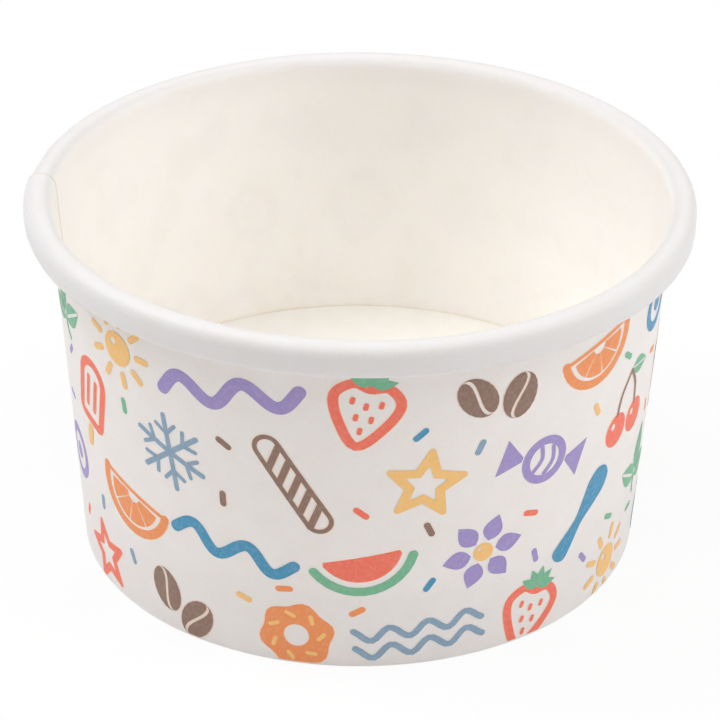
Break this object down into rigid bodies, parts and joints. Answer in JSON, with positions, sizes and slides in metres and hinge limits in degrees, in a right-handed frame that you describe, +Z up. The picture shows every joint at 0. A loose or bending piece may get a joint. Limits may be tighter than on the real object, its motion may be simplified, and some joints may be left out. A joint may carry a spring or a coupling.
{
  "type": "paper ice cream cup",
  "caption": "Low tapered paper cup with a rolled rim, a lap seam and a raised floor held by a folded foot, for serving ice cream.",
  "frame": {"origin": "middle of the foot, on the surface the cup stands on", "axes": "+Z up through the mouth, -Y towards the viewer of the picture, the seam on the -X side"},
  "size_m": [0.0871, 0.087, 0.05],
  "materials": {
    "wall_board": "coated, satin, printed outside",
    "disc_board": "coated, satin"
  },
  "bodies": {
    "root": {"sidewall": "wall_board", "base_disc": "disc_board"}
  },
  "joints": []
}
